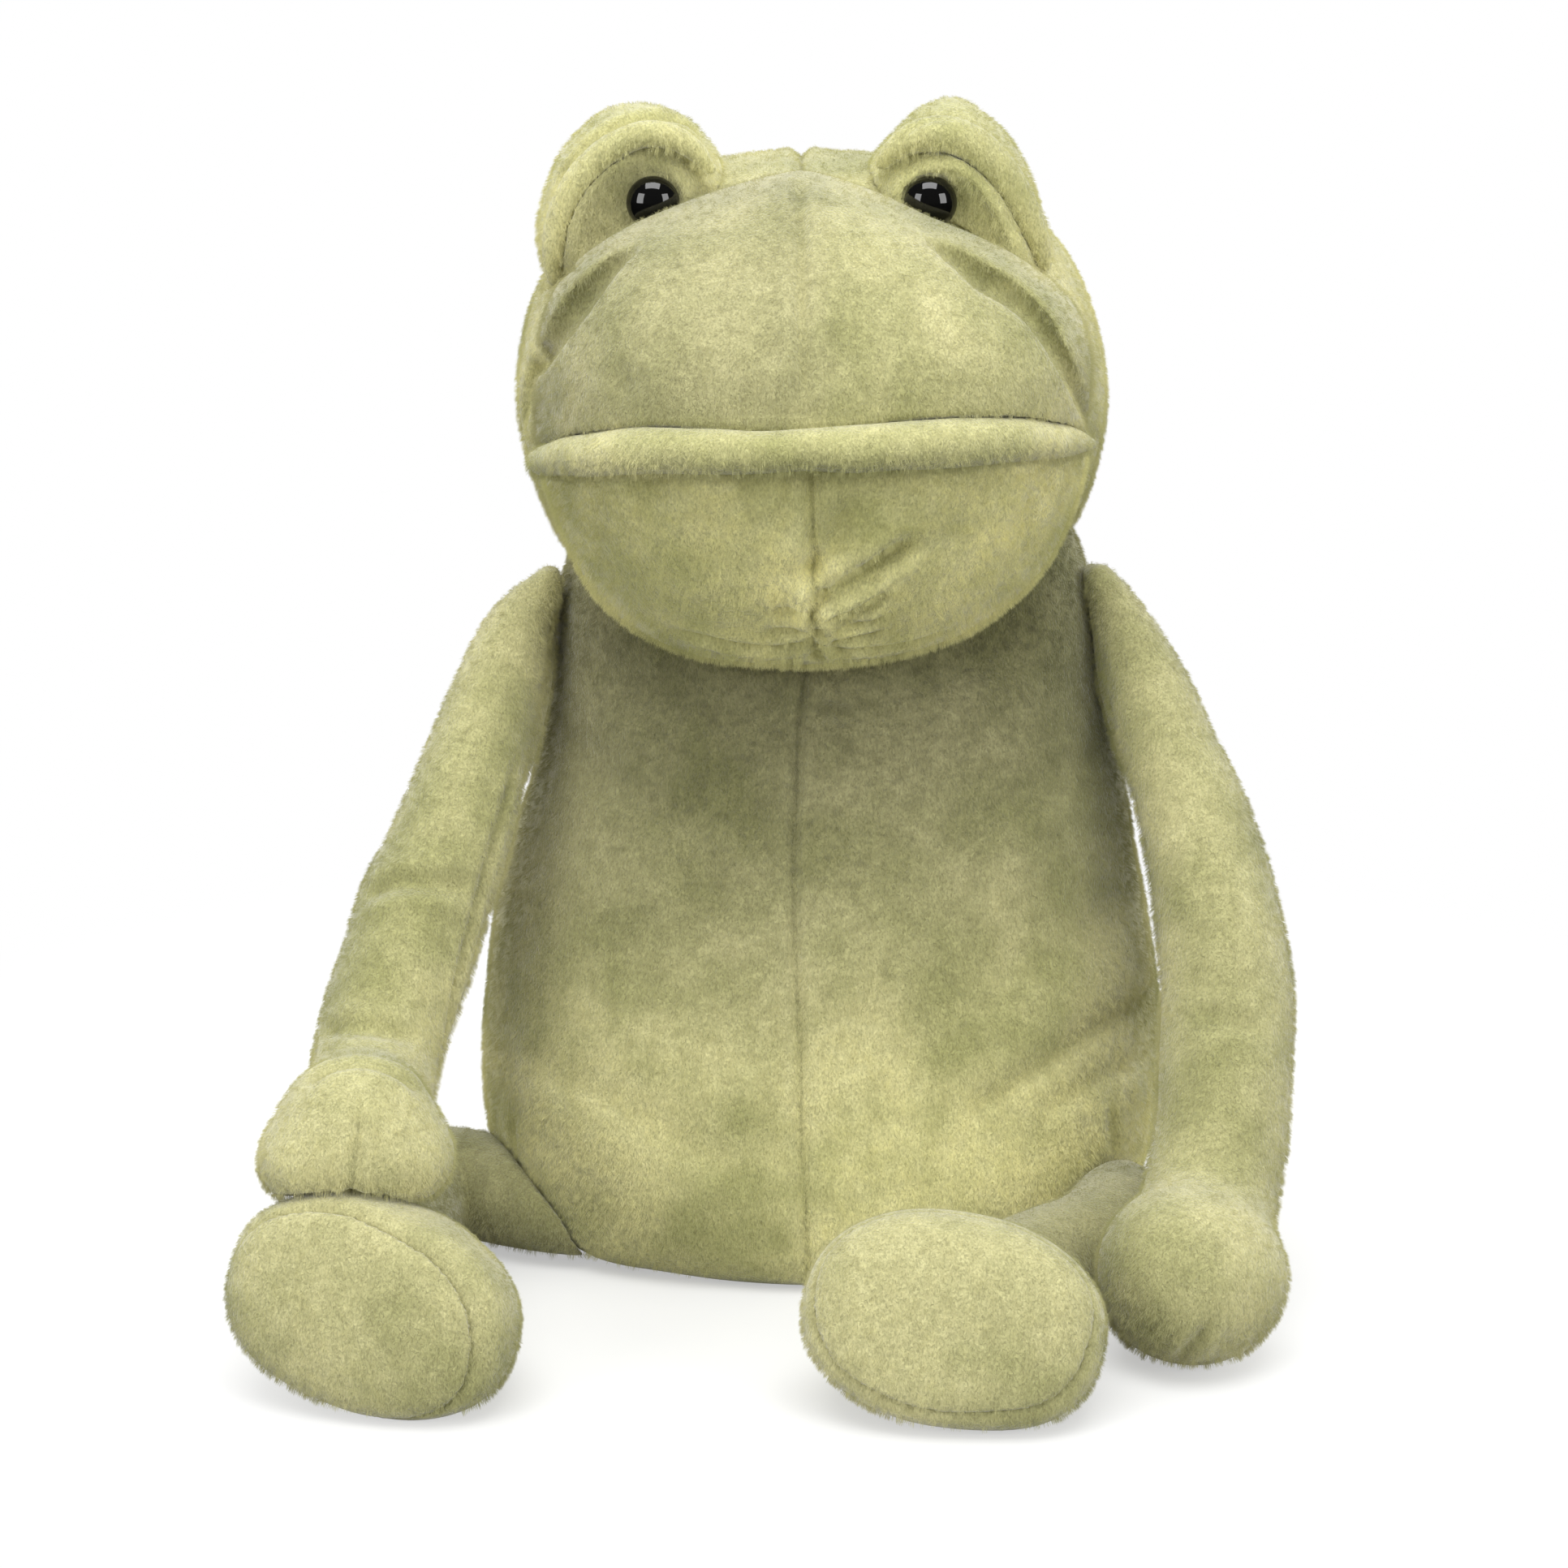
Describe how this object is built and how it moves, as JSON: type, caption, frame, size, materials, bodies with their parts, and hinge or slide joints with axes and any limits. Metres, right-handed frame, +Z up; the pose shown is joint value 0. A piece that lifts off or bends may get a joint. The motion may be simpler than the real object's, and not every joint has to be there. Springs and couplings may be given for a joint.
{
  "type": "plush frog",
  "caption": "Sitting plush frog with a bean-weighted body, a nodding head with raised hooded eyes and a rolled mouth, hanging arms and bent legs with padded feet.",
  "frame": {"origin": "middle of the flat oval base panel that the frog sits on", "axes": "+Z up, -Y towards the frog's face, +X towards the frog's left arm"},
  "size_m": [0.2387, 0.2091, 0.2656],
  "materials": {
    "plush": "short-pile plush, sage green",
    "bean_cloth": "plain woven inner bag",
    "eye_plastic": "polished black",
    "washer_plastic": "moulded, natural white"
  },
  "bodies": {
    "body": {"torso": "plush", "base_panel": "plush", "bean_bag": "bean_cloth"},
    "head": {"head": "plush", "muzzle": "plush", "jaw": "plush", "mouth_roll": "plush", "eye_dome_right": "plush", "eye_hood_right": "plush", "eye_right": "eye_plastic", "eye_washer_right": "washer_plastic", "eye_dome_left": "plush", "eye_hood_left": "plush", "eye_left": "eye_plastic", "eye_washer_left": "washer_plastic"},
    "arm_right": {"arm_right": "plush"},
    "arm_left": {"arm_left": "plush"},
    "leg_right": {"leg_right": "plush", "foot_right": "plush", "sole_right": "plush"},
    "leg_left": {"leg_left": "plush", "foot_left": "plush", "sole_left": "plush"}
  },
  "joints": [
    {"name": "neck_nod", "type": "hinge", "parent": "body", "child": "head", "pos_m": [0, 0.0378, 0.16027], "axis": [-1, 0, 0], "range_deg": [0, 15]},
    {"name": "shoulder_right", "type": "hinge", "parent": "body", "child": "arm_right", "pos_m": [-0.06166, -0.01188, 0.16198], "axis": [0, 1, 0], "range_deg": [0, 80]},
    {"name": "shoulder_left", "type": "hinge", "parent": "body", "child": "arm_left", "pos_m": [0.06466, -0.01188, 0.16198], "axis": [0, -1, 0], "range_deg": [0, 80]},
    {"name": "hip_right", "type": "hinge", "parent": "body", "child": "leg_right", "pos_m": [-0.06598, -0.03399, 0.013], "axis": [1, 0, 0], "range_deg": [0, 80]},
    {"name": "hip_left", "type": "hinge", "parent": "body", "child": "leg_left", "pos_m": [0.06401, -0.04, 0.0091], "axis": [1, 0, 0], "range_deg": [0, 80]}
  ]
}
